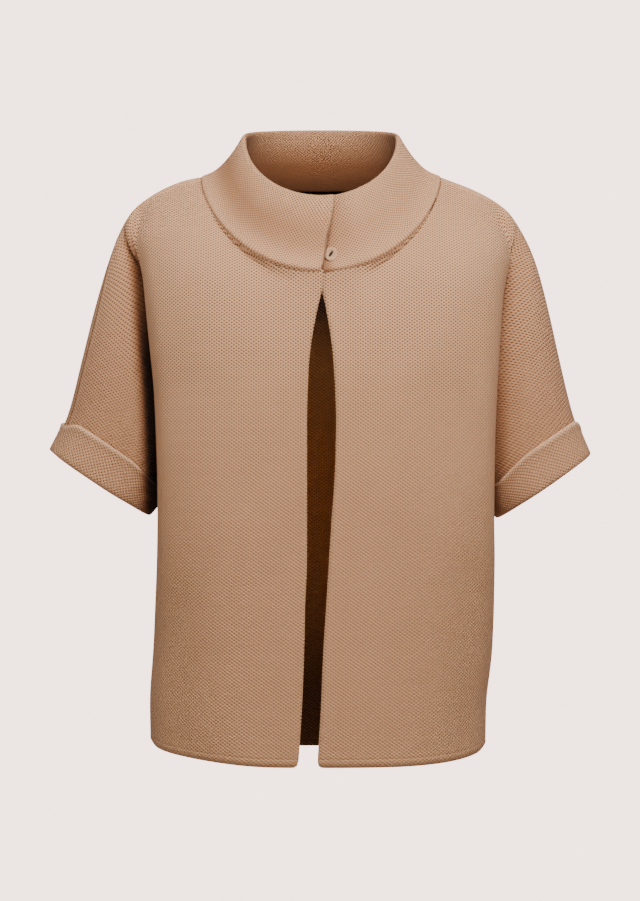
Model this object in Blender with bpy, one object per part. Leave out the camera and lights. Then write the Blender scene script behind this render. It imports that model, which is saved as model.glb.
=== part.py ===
# Knitted cape jacket, worn shape with no wearer. Metres, +Z up, front facing -Y.
# Tables hold millimetres. The origin is midway between the shoulder points at the neck.
# "right" is the wearer's right side, which is at -X, and "left" is at +X.
import math

import bmesh
import bpy
import numpy as np

for thing in list(bpy.data.objects):
    bpy.data.objects.remove(thing, do_unlink=True)

MM = 0.001
RIGHT = -1
LEFT = 1
FRONT = -1
BACK = 1

cloth_thickness = 2.4
seam_inset = 0.2
collar_thickness = 5.0
collar_under_push = 9.8
neck_half_width = 124.0
neck_front_depth = 105.0
neck_back_depth = 76.0
neck_front_drop = 101.5
neck_back_drop = 5.0
neck_side_height = 3.0
underarm_height = -306.0
hem_height = -599.0
hem_side_rise = 16.0
shoulder_rounding = 118.0
seam_turn = 0.42

neck_columns = 7
shoulder_columns = 5
fold_columns = 5
upper_rows = 14
lower_rows = 12
sleeve_shares = [0.06, 0.13, 0.22, 0.33, 0.45, 0.57, 0.68, 0.77, 0.83, 0.885, 0.94, 1.0]

# Shoulder line and over-arm line of each sleeve, from the neck outwards: out, height.
SHOULDER = {
    RIGHT: [(124, 3), (140, 0), (161, -8), (183, -21), (196.6, -33), (204.9, -45.7)],
    LEFT: [(124, 3), (140, -3), (160, -11), (181, -22.5), (195, -33.6), (203.8, -45.7)],
}
# Where the outer front fold of the body runs: height, out, forward.
FOLD = {
    RIGHT: [
        (-20, 184, 28), (-27, 188, 28), (-45, 195, 28), (-60, 196.5, 30), (-82, 188, 33), (-100, 184, 40),
        (-133, 180.7, 46), (-178, 176, 52), (-218, 171.8, 56), (-270, 169.2, 60), (-306, 168, 62),
        (-341, 167.5, 61), (-394, 168.6, 50), (-440, 171, 34), (-488, 173.5, 20), (-556, 177.6, 10), (-600, 177, 8),
    ],
    LEFT: [
        (-20, 181, 28), (-27, 186, 28), (-45, 196, 28), (-60, 200, 29), (-84, 197, 31), (-107, 190, 39),
        (-147, 186, 46), (-178, 184, 52), (-209, 181.8, 56), (-282, 178.5, 60), (-306, 178, 62),
        (-352, 177.6, 60), (-394, 178.6, 50), (-440, 178.6, 34), (-488, 177.5, 20), (-556, 171.5, 10), (-600, 171, 8),
    ],
}
# Side seam below the underarm: height, out.
SIDE = {
    RIGHT: [(-306, 141), (-341, 147), (-394, 159), (-440, 168), (-488, 172.5), (-556, 177.3), (-600, 176.8)],
    LEFT: [(-306, 149), (-341, 156), (-394, 169), (-440, 175), (-488, 176.5), (-556, 171), (-600, 170.5)],
}
# Front edge of each front: height, place across (towards +X is positive).
FRONT_EDGE = {
    RIGHT: [
        (-98, 2.6), (-112, 2.2), (-122, 0.4), (-130, -1.6), (-148, -5.5), (-178, -10.5), (-196, -12.3), (-251, -14),
        (-343, -14), (-391, -14), (-439, -16), (-487, -17), (-536, -19), (-600, -23),
    ],
    LEFT: [
        (-98, -15), (-108, -9), (-117, -1.5), (-122, 1.2), (-130, 3.6), (-148, 6.8), (-178, 11.4), (-196, 12.8), (-251, 15.2),
        (-301, 14), (-343, 11.1), (-391, 8), (-439, 5), (-487, 2), (-536, 0), (-600, -4),
    ],
}
# How far the middle stands out in front and behind: height, front, back.
DEPTH = [
    (0, 60, 84), (-40, 82, 98), (-98, 105, 110), (-150, 113, 116), (-220, 120, 119),
    (-330, 125, 121), (-460, 126, 120), (-600, 126, 119),
]
# The sleeve by rings: share along, outer point (out, height), inner point (out, height), half depth, inward bow.
SLEEVE = {
    RIGHT: [
        (0.0, 204.9, -45.7, 141, -306, 27, 24),
        (0.12, 213, -63, 141.5, -306.5, 33, 14),
        (0.25, 221, -85, 143, -307.5, 40, 6),
        (0.45, 235, -133, 147, -310, 46, 0),
        (0.65, 248, -185, 151.5, -313.5, 49, 0),
        (0.85, 263.4, -245, 158, -320, 50, 0),
        (1.0, 279.6, -279.2, 179.5, -345.5, 52, 0),
    ],
    LEFT: [
        (0.0, 203.8, -45.7, 149, -306, 27, 24),
        (0.12, 213, -62, 149.5, -306.5, 33, 14),
        (0.25, 223, -85, 151, -307.5, 40, 6),
        (0.45, 236, -133, 155, -310.5, 46, 0),
        (0.65, 247.6, -185, 160, -315, 49, 0),
        (0.85, 262.6, -246, 166.5, -322.5, 50, 0),
        (1.0, 277.6, -283.5, 184, -348.5, 52, 0),
    ],
}
# Profile of the turned-up cuff: up the sleeve from its end, out from its surface.
CUFF_PROFILE = [
    (-0.8, 1.1), (10, 1.1), (20, 1.2), (30, 1.5), (37.0, 1.7), (38.4, 3.2), (37.6, 5.2), (35.4, 5.8), (33.2, 4.5),
    (24, 3.8), (12, 4.0), (0, 4.0), (-2.6, 2.8), (-3.4, -0.8), (-2.6, -4.6), (0.4, -6.0), (11, -6.0),
    (11.6, -4.8), (11, -3.7), (-0.8, -3.7),
]
# Profile of the collar: share of its height, out from its outer surface.
COLLAR_PROFILE = [
    (0.0, -0.5), (0.16, 0.0), (0.34, 0.0), (0.52, 0.0), (0.7, 0.0), (0.86, 0.0), (0.96, -0.3), (0.995, -1.2),
    (1.005, -2.5), (0.995, -3.8), (0.96, -4.7), (0.86, -5.0), (0.64, -5.0), (0.42, -5.0), (0.2, -5.0), (0.04, -4.0),
]
collar_steps = 60
collar_front_gap = 2.3
collar_back_gap = 1.1
rim_half_width = 80.0
rim_front_depth = 62.0
rim_back_depth = 66.0
rim_side_height = 46.0
rim_front_drop = 66.0
rim_back_rise = 12.0
collar_waist = 5.5
# The two ends of the collar, in degrees from the middle of the front: share of height, top end, under end.
COLLAR_ENDS = [(0, -1.2, 367.5), (0.35, -2.0, 368.5), (0.6, -4.5, 370), (0.8, -9.0, 371.5), (1.0, -11.6, 373)]

button_place = (9.6, -83.6)
button_radius = 6.6
button_hole_radius = 3.4
button_stretch = 1.4
button_thickness = 1.6


def curve(table, at, column):
    """A smooth line through one column of a table whose first column falls or rises."""
    xs = np.array([row[0] for row in table], float)
    ys = np.array([row[column] for row in table], float)
    if xs[0] > xs[-1]:
        xs = xs[::-1]
        ys = ys[::-1]
    at = np.clip(at, xs[0], xs[-1])
    i = int(np.clip(np.searchsorted(xs, at) - 1, 0, len(xs) - 2))
    slopes = np.diff(ys) / np.diff(xs)
    tangents = np.empty(len(xs))
    tangents[0] = slopes[0]
    tangents[-1] = slopes[-1]
    for k in range(1, len(xs) - 1):
        a = slopes[k - 1]
        b = slopes[k]
        tangents[k] = 0.0 if a * b <= 0 else 2 * a * b / (a + b)
    h = xs[i + 1] - xs[i]
    t = (at - xs[i]) / h
    return (
        ys[i] * (2 * t**3 - 3 * t**2 + 1)
        + h * tangents[i] * (t**3 - 2 * t**2 + t)
        + ys[i + 1] * (3 * t**2 - 2 * t**3)
        + h * tangents[i + 1] * (t**3 - t**2)
    )


def smooth(t):
    t = min(1.0, max(0.0, t))
    return t * t * (3 - 2 * t)


def under_push(angle):
    """How far the covered end of the neck sits behind the end on top of it."""
    return collar_under_push * smooth((angle - 336) / 19)


def neck_point(angle):
    """The neck seam at an angle in degrees from the middle of the front towards the wearer's right."""
    a = math.radians(angle)
    forward = math.cos(a)
    x = -neck_half_width * math.sin(a)
    if forward > 0:
        y = -neck_front_depth * forward
        z = neck_side_height - neck_front_drop * forward**1.2
    else:
        y = -neck_back_depth * forward
        z = neck_side_height - neck_back_drop * (-forward)
    return np.array([x, y + under_push(angle), z])


def rim_point(angle):
    """The top edge of the collar at the same angle."""
    a = math.radians(angle)
    forward = math.cos(a)
    x = -rim_half_width * math.sin(a)
    if forward > 0:
        y = -rim_front_depth * forward
        z = rim_side_height - rim_front_drop * forward
    else:
        y = -rim_back_depth * forward
        z = rim_side_height + rim_back_rise * (-forward) ** 0.6
    return np.array([x, y + under_push(angle), z])


def ring_point(side, face, share, t):
    """A point of the sleeve: share along it, and t from the over-arm line (0) to the underarm line (1)."""
    row = [curve(SLEEVE[side], share, c) for c in range(1, 7)]
    outer = np.array([row[0], row[1]])
    inner = np.array([row[2], row[3]])
    if share > 1:
        last = [curve(SLEEVE[side], 1.0, c) for c in range(1, 5)]
        before = [curve(SLEEVE[side], 0.97, c) for c in range(1, 5)]
        step = (share - 1) / 0.03
        outer = np.array([last[0] + (last[0] - before[0]) * step, last[1] + (last[1] - before[1]) * step])
        inner = np.array([last[2] + (last[2] - before[2]) * step, last[3] + (last[3] - before[3]) * step])
    middle = (outer + inner) / 2
    turned = seam_turn * smooth(share / 0.5) if side == RIGHT else 0.0
    a = turned + (math.pi - turned) * t if face == FRONT else (math.pi + turned) * t - turned
    across = math.copysign(abs(math.cos(a)) ** 0.92, math.cos(a))
    deep = math.copysign(abs(math.sin(a)) ** 0.92, math.sin(a))
    place = middle + (outer - middle) * across
    out = place[0] - row[5] * abs(deep) ** 3
    return np.array([side * out, face * row[4] * deep, place[1]])


def shoulder_point(side, share):
    """A point of the shoulder line: share from the neck to the start of the sleeve."""
    table = [(i / (len(SHOULDER[side]) - 1), x, z) for i, (x, z) in enumerate(SHOULDER[side])]
    return np.array([side * curve(table, share, 1), 0.0, curve(table, share, 2)])


def section_point(side, face, share, z):
    """A point on the level section of the body: share 0 at the middle or front edge, 1 at the outer fold."""
    fold = curve(FOLD[side], z, 1)
    forward = curve(FOLD[side], z, 2) * (1.0 if face == FRONT else 0.8)
    deep = curve(DEPTH, z, 1 if face == FRONT else 2)
    if face == FRONT:
        start = curve(FRONT_EDGE[side], z, 1) * side
    else:
        start = 0.0
        fold -= 2.5
    across = start + (fold - start) * share
    full = max(0.0, 1 - (abs(across) / fold) ** 2.4)
    back = forward + (deep - forward) * full**0.52
    return np.array([side * across, face * back, z])


def side_of(side, face, z):
    return np.array([side * curve(SIDE[side], z, 1), 0.0, z])


def bezier(a, b, c, d, t):
    return a * (1 - t) ** 3 + 3 * b * t * (1 - t) ** 2 + 3 * c * t * t * (1 - t) + d * t**3


def top_point(side, face, column):
    """The neck seam and then the shoulder seam, column by column."""
    if column <= neck_columns:
        share = column / neck_columns
        if face == BACK:
            return neck_point(180 - 90 * share if side == RIGHT else 180 + 90 * share)
        if side == RIGHT:
            return neck_point(-1.2 + 91.2 * share)
        return neck_point(367.0 - 97.0 * share)
    if column <= neck_columns + shoulder_columns:
        share = (column - neck_columns) / shoulder_columns
        return shoulder_point(side, 0.62 * share)
    share = (column - neck_columns - shoulder_columns) / fold_columns
    return shoulder_point(side, 0.62 + 0.38 * share)


def hem_lift(side, x, y):
    return hem_side_rise * (1 - min(1.0, abs(y) / 118.0)) ** 1.3


def quarter(side, face):
    """One front, or half of the back, as rows of points with its sleeve following on from the upper rows."""
    body = neck_columns + shoulder_columns + fold_columns
    inner = neck_columns + shoulder_columns
    rows = []
    first = ring_point(side, face, 0, 0)
    for r in range(upper_rows + 1):
        t = r / upper_rows
        meet = ring_point(side, face, 0, t)
        level = (meet[2] - first[2]) / (underarm_height - first[2])
        row = []
        for c in range(body + 1):
            top = top_point(side, face, c)
            z = top[2] + (underarm_height - top[2]) * level
            fallen = top[2] - z
            if c <= inner:
                flat = section_point(side, face, (c / inner) ** 0.94, z)
            else:
                s = (c - inner) / fold_columns
                near = section_point(side, face, 1.0, z)
                end = np.array([meet[0], meet[1], z])
                hooked = smooth((-50 - z) / 70)
                reach = np.linalg.norm(near[:2] - end[:2])
                lead = np.array([side * (1 - hooked), -face * hooked, 0]) * reach * (0.35 + 0.3 * hooked)
                flat = bezier(near, near + lead, end + np.array([side * 3.0 * hooked, 0, 0]), end, s)
            w = smooth(fallen / (6 + 64 * min(1.0, c / neck_columns)))
            power = 0.6 + (0.14 if face == FRONT else -0.25) * (1 - min(1.0, c / inner) ** 3)
            rise = math.sin(math.pi / 2 * min(1.0, fallen / shoulder_rounding)) ** power
            if c > inner:
                rise += (1 - rise) * smooth(s) * smooth(12 * t)
            x = top[0] + (flat[0] - top[0]) * w
            y = top[1] + (flat[1] - top[1]) * rise
            if side == LEFT and face == FRONT:
                y += under_push(360 + 57.3 * math.asin(max(-0.9, min(0.9, -x / 124)))) * smooth((z + 150) / 45) * rise
            if c == body:
                row.append(meet)
            else:
                row.append(np.array([x, y, z]))
        for share in sleeve_shares:
            row.append(ring_point(side, face, share, t))
        rows.append(row)
    for r in range(1, lower_rows + 1):
        t = r / lower_rows
        row = []
        for c in range(body + 1):
            z = underarm_height + (hem_height - underarm_height) * t
            if c <= inner:
                p = section_point(side, face, (c / inner) ** 0.94, z)
            else:
                s = (c - inner) / fold_columns
                near = section_point(side, face, 1.0, z)
                end = side_of(side, face, z)
                reach = abs(near[1])
                back = np.array([0, -face, 0]) * reach
                p = bezier(near, near + back * 0.45, end - back * 0.4, end, s)
            p[2] += hem_lift(side, p[0], p[1]) * t**3
            row.append(p)
        rows.append(row)
    return rows


points = []
index = {}


def number(p):
    key = tuple(int(round(v * 200)) for v in p)
    if key not in index:
        index[key] = len(points)
        points.append(np.array(p, float))
    return index[key]


def faces_of(side, face):
    rows = quarter(side, face)
    found = []
    for r in range(len(rows) - 1):
        for c in range(min(len(rows[r]), len(rows[r + 1])) - 1):
            four = [rows[r][c], rows[r + 1][c], rows[r + 1][c + 1], rows[r][c + 1]]
            ids = [number(p) for p in four]
            if side * face > 0:
                ids.reverse()
            clean = []
            for i in ids:
                if i not in clean:
                    clean.append(i)
            if len(clean) > 2:
                found.append(clean)
    return found


panels = {
    "front_right": faces_of(RIGHT, FRONT),
    "front_left": faces_of(LEFT, FRONT),
    "back": faces_of(RIGHT, BACK) + faces_of(LEFT, BACK),
}
normals = np.zeros((len(points), 3))
for faces in panels.values():
    for ids in faces:
        corners = [points[i] for i in ids]
        n = np.cross(corners[1] - corners[0], corners[2] - corners[0])
        if len(ids) == 4:
            n = n + np.cross(corners[2] - corners[0], corners[3] - corners[0])
        for i in ids:
            normals[i] += n
normals /= np.maximum(np.linalg.norm(normals, axis=1), 1e-9)[:, None]

scene = bpy.context.scene
scene.unit_settings.scale_length = 1.0
jacket = bpy.data.collections.new("knitted_cape")
scene.collection.children.link(jacket)


def material(name, colour, roughness, metallic):
    made = bpy.data.materials.new(name)
    made.use_nodes = True
    shader = made.node_tree.nodes["Principled BSDF"]
    shader.inputs["Base Color"].default_value = (*colour, 1)
    shader.inputs["Roughness"].default_value = roughness
    shader.inputs["Metallic"].default_value = metallic
    return made


def add_object(name, vertices, faces, made):
    mesh = bpy.data.meshes.new(name)
    mesh.from_pydata([tuple(float(v) * MM for v in p) for p in vertices], [], faces)
    work = bmesh.new()
    work.from_mesh(mesh)
    bmesh.ops.recalc_face_normals(work, faces=work.faces)
    if work.calc_volume(signed=True) < 0:
        bmesh.ops.reverse_faces(work, faces=work.faces)
    work.to_mesh(mesh)
    work.free()
    for polygon in mesh.polygons:
        polygon.use_smooth = True
    mesh.materials.append(made)
    thing = bpy.data.objects.new(name, mesh)
    jacket.objects.link(thing)
    return thing


def panel_solid(name, faces, made):
    """A panel of cloth: its outer faces, the same faces moved in by the cloth's thickness, and its edges."""
    used = sorted({i for ids in faces for i in ids})
    place = {i: k for k, i in enumerate(used)}
    edges = {}
    for ids in faces:
        for a, b in zip(ids, ids[1:] + ids[:1]):
            edges[(a, b)] = edges.get((a, b), 0) + 1
    rim = [(a, b) for (a, b) in edges if (b, a) not in edges]
    on_rim = {i for pair in rim for i in pair}
    inward = {i: np.zeros(3) for i in on_rim}
    for ids in faces:
        centre = sum(points[i] for i in ids) / len(ids)
        for i in ids:
            if i in on_rim:
                inward[i] = inward[i] + centre - points[i]
    outer = []
    inner = []
    for i in used:
        p = points[i].copy()
        if i in on_rim:
            d = inward[i] - normals[i] * np.dot(inward[i], normals[i])
            p = p + d / max(np.linalg.norm(d), 1e-9) * seam_inset
        outer.append(p)
        inner.append(p - normals[i] * cloth_thickness)
    count = len(used)
    all_faces = [[place[i] for i in ids] for ids in faces]
    all_faces += [[place[i] + count for i in reversed(ids)] for ids in faces]
    all_faces += [[place[b], place[a], place[a] + count, place[b] + count] for a, b in rim]
    return add_object(name, outer + inner, all_faces, made)


knit = material("camel_knit", (0.42, 0.25, 0.16), 0.9, 0.0)
rib = material("camel_collar", (0.44, 0.27, 0.17), 0.9, 0.0)
cuff_knit = material("camel_cuff", (0.40, 0.24, 0.15), 0.9, 0.0)
stud = material("stud_ecru", (0.62, 0.52, 0.42), 0.45, 0.0)

for panel_name, panel_faces in panels.items():
    panel_solid(panel_name, panel_faces, knit)


def loop_solid(name, loops, closed, made):
    """A solid through loops of points of one count, joined end to end or with a cap on each end."""
    vertices = [p for loop in loops for p in loop]
    n = len(loops[0])
    faces = []
    count = len(loops) if closed else len(loops) - 1
    for i in range(count):
        j = (i + 1) % len(loops)
        for k in range(n):
            m = (k + 1) % n
            faces.append([i * n + k, i * n + m, j * n + m, j * n + k])
    if not closed:
        faces.append(list(range(n)))
        faces.append([(len(loops) - 1) * n + k for k in range(n)])
    return add_object(name, vertices, faces, made)


# Turned-up cuffs.
def cuff_loops(side):
    around = []
    for k in range(upper_rows):
        around.append((FRONT, k / upper_rows))
    for k in range(upper_rows, 0, -1):
        around.append((BACK, k / upper_rows))
    loops = []
    inner_reach = 46.0
    for face, t in around:
        here = ring_point(side, face, 1.0, t)
        above = ring_point(side, face, 0.85, t)
        run = np.linalg.norm(above - here)
        run += max(0.0, inner_reach - run) * smooth((t - 0.5) / 0.25)
        loop = []
        for up, out in CUFF_PROFILE:
            share = 1.0 - 0.15 * up / run
            p = ring_point(side, face, share, t)
            along = ring_point(side, face, share + 0.02, t) - ring_point(side, face, share - 0.02, t)
            step = 0.02
            if t - step < 0:
                ahead = ring_point(side, face, share, t + step)
                behind = ring_point(side, -face, share, step)
            elif t + step > 1:
                ahead = ring_point(side, -face, share, 1 - step)
                behind = ring_point(side, face, share, t - step)
            else:
                ahead = ring_point(side, face, share, t + step)
                behind = ring_point(side, face, share, t - step)
            n = np.cross(along, ahead - behind)
            n /= max(np.linalg.norm(n), 1e-9)
            middle = (ring_point(side, FRONT, share, 0.5) + ring_point(side, BACK, share, 0.5)) / 2
            if np.dot(n, p - middle) < 0:
                n = -n
            loop.append(p + n * out)
        loops.append(loop)
    return loops


loop_solid("cuff_right", cuff_loops(RIGHT), True, cuff_knit)
loop_solid("cuff_left", cuff_loops(LEFT), True, cuff_knit)


# Collar: one band, standing away from the neck, its ends crossing at the front.
def collar_surface(u, h):
    start = curve(COLLAR_ENDS, h, 1)
    end = curve(COLLAR_ENDS, h, 2)
    angle = start + (end - start) * u
    bottom = neck_point(angle)
    top = rim_point(angle)
    rise = top - bottom
    ahead = smooth((math.cos(math.radians(angle)) + 0.3) / 0.6)
    lift = (collar_back_gap + (collar_front_gap - collar_back_gap) * ahead) / np.linalg.norm(rise)
    p = bottom + rise * (lift + (1 - lift) * h)
    inward = np.array([-p[0], -p[1], 0])
    inward = inward / max(np.linalg.norm(inward), 1e-9)
    down = np.array([0, 0, -1.0])
    waist = collar_waist * math.sin(math.pi * min(1.0, max(0.0, h)) ** 0.75) ** 1.1
    return p + (inward * 0.8 + down * 0.6) * waist


def collar_normal(u, h):
    a = max(0.0, u - 0.004)
    b = min(1.0, u + 0.004)
    low = max(0.0, h - 0.03)
    high = min(1.0, h + 0.03)
    around = collar_surface(b, h) - collar_surface(a, h)
    up = collar_surface(u, high) - collar_surface(u, low)
    n = np.cross(up, around)
    n /= max(np.linalg.norm(n), 1e-9)
    p = collar_surface(u, h)
    return n if np.dot(n[:2], p[:2]) > 0 else -n


collar_loops = []
for k in range(collar_steps + 1):
    u = k / collar_steps
    collar_loops.append([collar_surface(u, h) + collar_normal(u, min(h, 1.0)) * out for h, out in COLLAR_PROFILE])
loop_solid("collar", collar_loops, False, rib)


# Press stud: a ring with a bar across, sewn on the covered end of the collar.
def collar_near(place):
    best = None
    for i in range(880, 1001, 2):
        for j in range(0, 60):
            u = i / 1000
            h = j / 60
            p = collar_surface(u, h)
            gap = math.hypot(p[0] - place[0], p[2] - place[1])
            if best is None or gap < best[0]:
                best = (gap, u, h)
    return best[1], best[2]


u, h = collar_near(button_place)
n = collar_normal(u, h)
centre = collar_surface(u, h) + n * 1.35
across = np.cross(np.array([0, 0, 1.0]), n)
across /= np.linalg.norm(across)
upward = np.cross(n, across)
stud_profile = [
    (button_hole_radius, 0.0), (button_radius - 0.5, 0.0), (button_radius, 0.6),
    (button_radius - 0.4, 1.2), (button_radius - 1.3, button_thickness),
    (button_hole_radius + 0.9, button_thickness), (button_hole_radius, 1.1),
]
stud_loops = []
for k in range(28):
    a = 2 * math.pi * k / 28
    spoke = across * math.cos(a) + upward * math.sin(a) * button_stretch
    stud_loops.append([centre + spoke * r + n * (d + 0.15) for r, d in stud_profile])
loop_solid("button", stud_loops, True, stud)
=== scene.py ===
import math

import bmesh
import bpy
import numpy as np
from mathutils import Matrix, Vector


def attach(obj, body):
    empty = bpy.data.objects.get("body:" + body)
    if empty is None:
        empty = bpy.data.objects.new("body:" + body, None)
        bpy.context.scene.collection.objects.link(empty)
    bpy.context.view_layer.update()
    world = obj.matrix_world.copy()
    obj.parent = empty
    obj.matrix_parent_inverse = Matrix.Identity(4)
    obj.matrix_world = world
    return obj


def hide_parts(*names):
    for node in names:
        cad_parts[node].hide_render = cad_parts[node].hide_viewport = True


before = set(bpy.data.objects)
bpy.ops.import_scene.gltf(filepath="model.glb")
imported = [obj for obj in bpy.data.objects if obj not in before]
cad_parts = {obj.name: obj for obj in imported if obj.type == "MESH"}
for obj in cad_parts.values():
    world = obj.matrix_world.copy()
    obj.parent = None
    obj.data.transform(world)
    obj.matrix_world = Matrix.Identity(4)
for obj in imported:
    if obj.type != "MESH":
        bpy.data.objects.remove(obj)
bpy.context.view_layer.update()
scene = bpy.context.scene

# Studio
# A plain warm white set of paper under soft lamps, with the camera level with the middle of the jacket
# and 3.3 m away. Lengths in this section are metres.
CAMERA_AT = (-0.001, -3.3, -0.2813)
camera_data = bpy.data.cameras.new("camera")
camera_data.sensor_width = 36.0
camera_data.sensor_fit = "VERTICAL"
camera_data.sensor_height = 36.0
camera_data.lens = 126.8
camera = bpy.data.objects.new("camera", camera_data)
camera.location = CAMERA_AT
camera.rotation_euler = (math.radians(90), 0, 0)
scene.collection.objects.link(camera)
scene.camera = camera


def add_light(name, place, aim, size, watts, colour):
    data = bpy.data.lights.new(name, "AREA")
    data.shape = "DISK"
    data.size = size
    data.energy = watts
    data.color = colour
    lamp = bpy.data.objects.new(name, data)
    lamp.location = place
    lamp.rotation_euler = (Vector(aim) - Vector(place)).to_track_quat("-Z", "Y").to_euler()
    scene.collection.objects.link(lamp)


add_light("key", (0.35, -1.6, 1.5), (0, 0, -0.1), 1.7, 47, (1.0, 0.985, 0.965))
add_light("left", (-2.2, -1.3, 0.2), (0, 0, -0.3), 1.6, 14, (1.0, 0.99, 0.98))
add_light("right", (2.2, -1.3, 0.2), (0, 0, -0.3), 1.6, 12, (1.0, 0.99, 0.98))
add_light("top", (0.1, -1.0, 1.0), (0, 0, -0.05), 1.0, 19, (1.0, 0.99, 0.97))

world = bpy.data.worlds.new("studio")
world.use_nodes = True
scene.world = world
air = world.node_tree.nodes["Background"]
air.inputs["Color"].default_value = (0.92, 0.88, 0.86, 1)
air.inputs["Strength"].default_value = 0.25


def fill(made, values):
    """Sets the named sockets of a shader node."""
    for name, value in values.items():
        made.inputs[name].default_value = value


def node(tree, kind, place=(0, 0), values=None, **settings):
    made = tree.nodes.new(kind)
    made.location = place
    for key, value in settings.items():
        setattr(made, key, value)
    fill(made, values or {})
    return made


def put(tree, value, socket):
    """Links a socket to another one, or sets it to a plain value."""
    if hasattr(value, "links"):
        tree.links.new(value, socket)
    else:
        socket.default_value = value


def noise(tree, vector, scale, place, detail=2.0):
    made = node(tree, "ShaderNodeTexNoise", place, {"Scale": scale, "Detail": detail})
    if vector is not None:
        tree.links.new(vector, made.inputs["Vector"])
    return made


def ramp(tree, factor, first, last, place):
    """A colour between two."""
    made = node(tree, "ShaderNodeValToRGB", place)
    made.color_ramp.elements[0].color = (*first, 1)
    made.color_ramp.elements[1].color = (*last, 1)
    tree.links.new(factor, made.inputs["Fac"])
    return made.outputs["Color"]


def ranged(tree, value, place, low=0.0, high=1.0, least=0.0, most=1.0, soft=True):
    """Carries a value from low and high to least and most, and no further; soft eases both ends."""
    values = {"From Min": low, "From Max": high, "To Min": least, "To Max": most}
    kind = "SMOOTHSTEP" if soft else "LINEAR"
    made = node(tree, "ShaderNodeMapRange", place, values, interpolation_type=kind)
    tree.links.new(value, made.inputs["Value"])
    return made.outputs["Result"]


def blend(tree, factor, first, second, place):
    """Mixes two colours, each of them a socket or a plain colour."""
    made = node(tree, "ShaderNodeMix", place, data_type="RGBA")
    tree.links.new(factor, made.inputs["Factor"])
    for name, value in (("A", first), ("B", second)):
        put(tree, value if hasattr(value, "links") else (*value, 1), made.inputs[name])
    return made.outputs["Result"]


def new_material(name, values):
    """A material with its own plain values set on its shader."""
    made = bpy.data.materials.new(name)
    made.use_nodes = True
    shader = made.node_tree.nodes["Principled BSDF"]
    fill(shader, values)
    return made, made.node_tree, shader


# The set is one sheet of paper: floor, a wide bend and a far wall, which is lit evenly from behind.
paper_front = -2.4
paper_back = 4.6
paper_floor = -1.78
paper_top = 1.3
paper_bend = 0.4
paper_half_width = 1.3
bend_steps = 8

plain = {"Roughness": 1.0, "Specular IOR Level": 0.0, "Emission Strength": 4.3}
paper, tree, shader = new_material("paper_set", plain)
place = node(tree, "ShaderNodeTexCoord", (-1000, 0)).outputs["Object"]
grain = noise(tree, place, 2.0, (-800, 200))
tone = ramp(tree, grain.outputs["Fac"], (1.0, 0.74, 0.69), (1.03, 0.77, 0.72), (-550, 200))
part = node(tree, "ShaderNodeSeparateXYZ", (-800, -100))
tree.links.new(place, part.inputs[0])
wall = ranged(tree, part.outputs["Z"], (-550, -100), -1.76, -1.5, least=0.03)
shine = blend(tree, wall, (0.0, 0.0, 0.0), tone, (-250, 100))
tree.links.new(shine, shader.inputs["Emission Color"])
pale = blend(tree, wall, (0.62, 0.58, 0.56), (0.02, 0.02, 0.02), (-250, -200))
tree.links.new(pale, shader.inputs["Base Color"])

outline = [(paper_front, paper_floor), (paper_back, paper_floor)]
for i in range(1, bend_steps + 1):
    a = math.pi / 2 * i / bend_steps
    outline.append((paper_back + paper_bend * math.sin(a), paper_floor + paper_bend * (1 - math.cos(a))))
outline.append((paper_back + paper_bend, paper_top))
set_mesh = bpy.data.meshes.new("paper_set")
set_points = [(x, y, z) for y, z in outline for x in (-paper_half_width, paper_half_width)]
set_faces = [(2 * i, 2 * i + 1, 2 * i + 3, 2 * i + 2) for i in range(len(outline) - 1)]
set_mesh.from_pydata(set_points, [], set_faces)
set_mesh.materials.append(paper)
for polygon in set_mesh.polygons:
    polygon.use_smooth = True
paper_set = bpy.data.objects.new("paper_set", set_mesh)
scene.collection.objects.link(paper_set)

# Body and sleeves
# The jacket is cut kimono fashion: each front and the back are one knitted panel with their halves of
# the sleeves, and are joined along the shoulder and over-arm line and along the underarm and side.
# Tables from here on are in millimetres, with the origin at the shoulders.
MM = 0.001
RIGHT = -1
LEFT = 1
FRONT = -1
BACK = 1
cloth_thickness = 2.4
neck_half_width = 124.0
neck_front_depth = 105.0
neck_back_depth = 76.0
neck_front_drop = 101.5
neck_back_drop = 5.0
neck_side_height = 3.0
collar_under_push = 9.8
underarm_height = -306.0
hem_height = -599.0
hem_side_rise = 16.0
shoulder_rounding = 118.0
# Behind, the outer fold lies a little further in and less far from the middle.
back_fold_inset = 2.5
back_fold_share = 0.8
seam_turn = 0.42

# A panel's grid: columns over the neck, the shoulder and the body's outer fold, then the sleeve's rings;
# rows down to the underarm, then on to the hem. The cloth is built at every half row and half column.
neck_columns = 7
shoulder_columns = 5
fold_columns = 5
inner_columns = neck_columns + shoulder_columns
body_columns = inner_columns + fold_columns
upper_rows = 14
lower_rows = 12
sleeve_shares = [0.0, 0.06, 0.13, 0.22, 0.33, 0.45, 0.57, 0.68, 0.77, 0.83, 0.885, 0.94, 1.0]
# The part of the shoulder line that the shoulder's columns take.
shoulder_share = 0.62
# The curves of the body's level section and of the sleeve's, and how the columns crowd outwards.
section_power = 2.4
section_roundness = 0.52
sleeve_roundness = 0.92
column_spread = 0.94

# Shoulder line and over-arm line of each sleeve, from the neck outwards: out, height.
SHOULDER = {
    RIGHT: [(124, 3), (140, 0), (161, -8), (183, -21), (196.6, -33), (204.9, -45.7)],
    LEFT: [(124, 3), (140, -3), (160, -11), (181, -22.5), (195, -33.6), (203.8, -45.7)],
}
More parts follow.
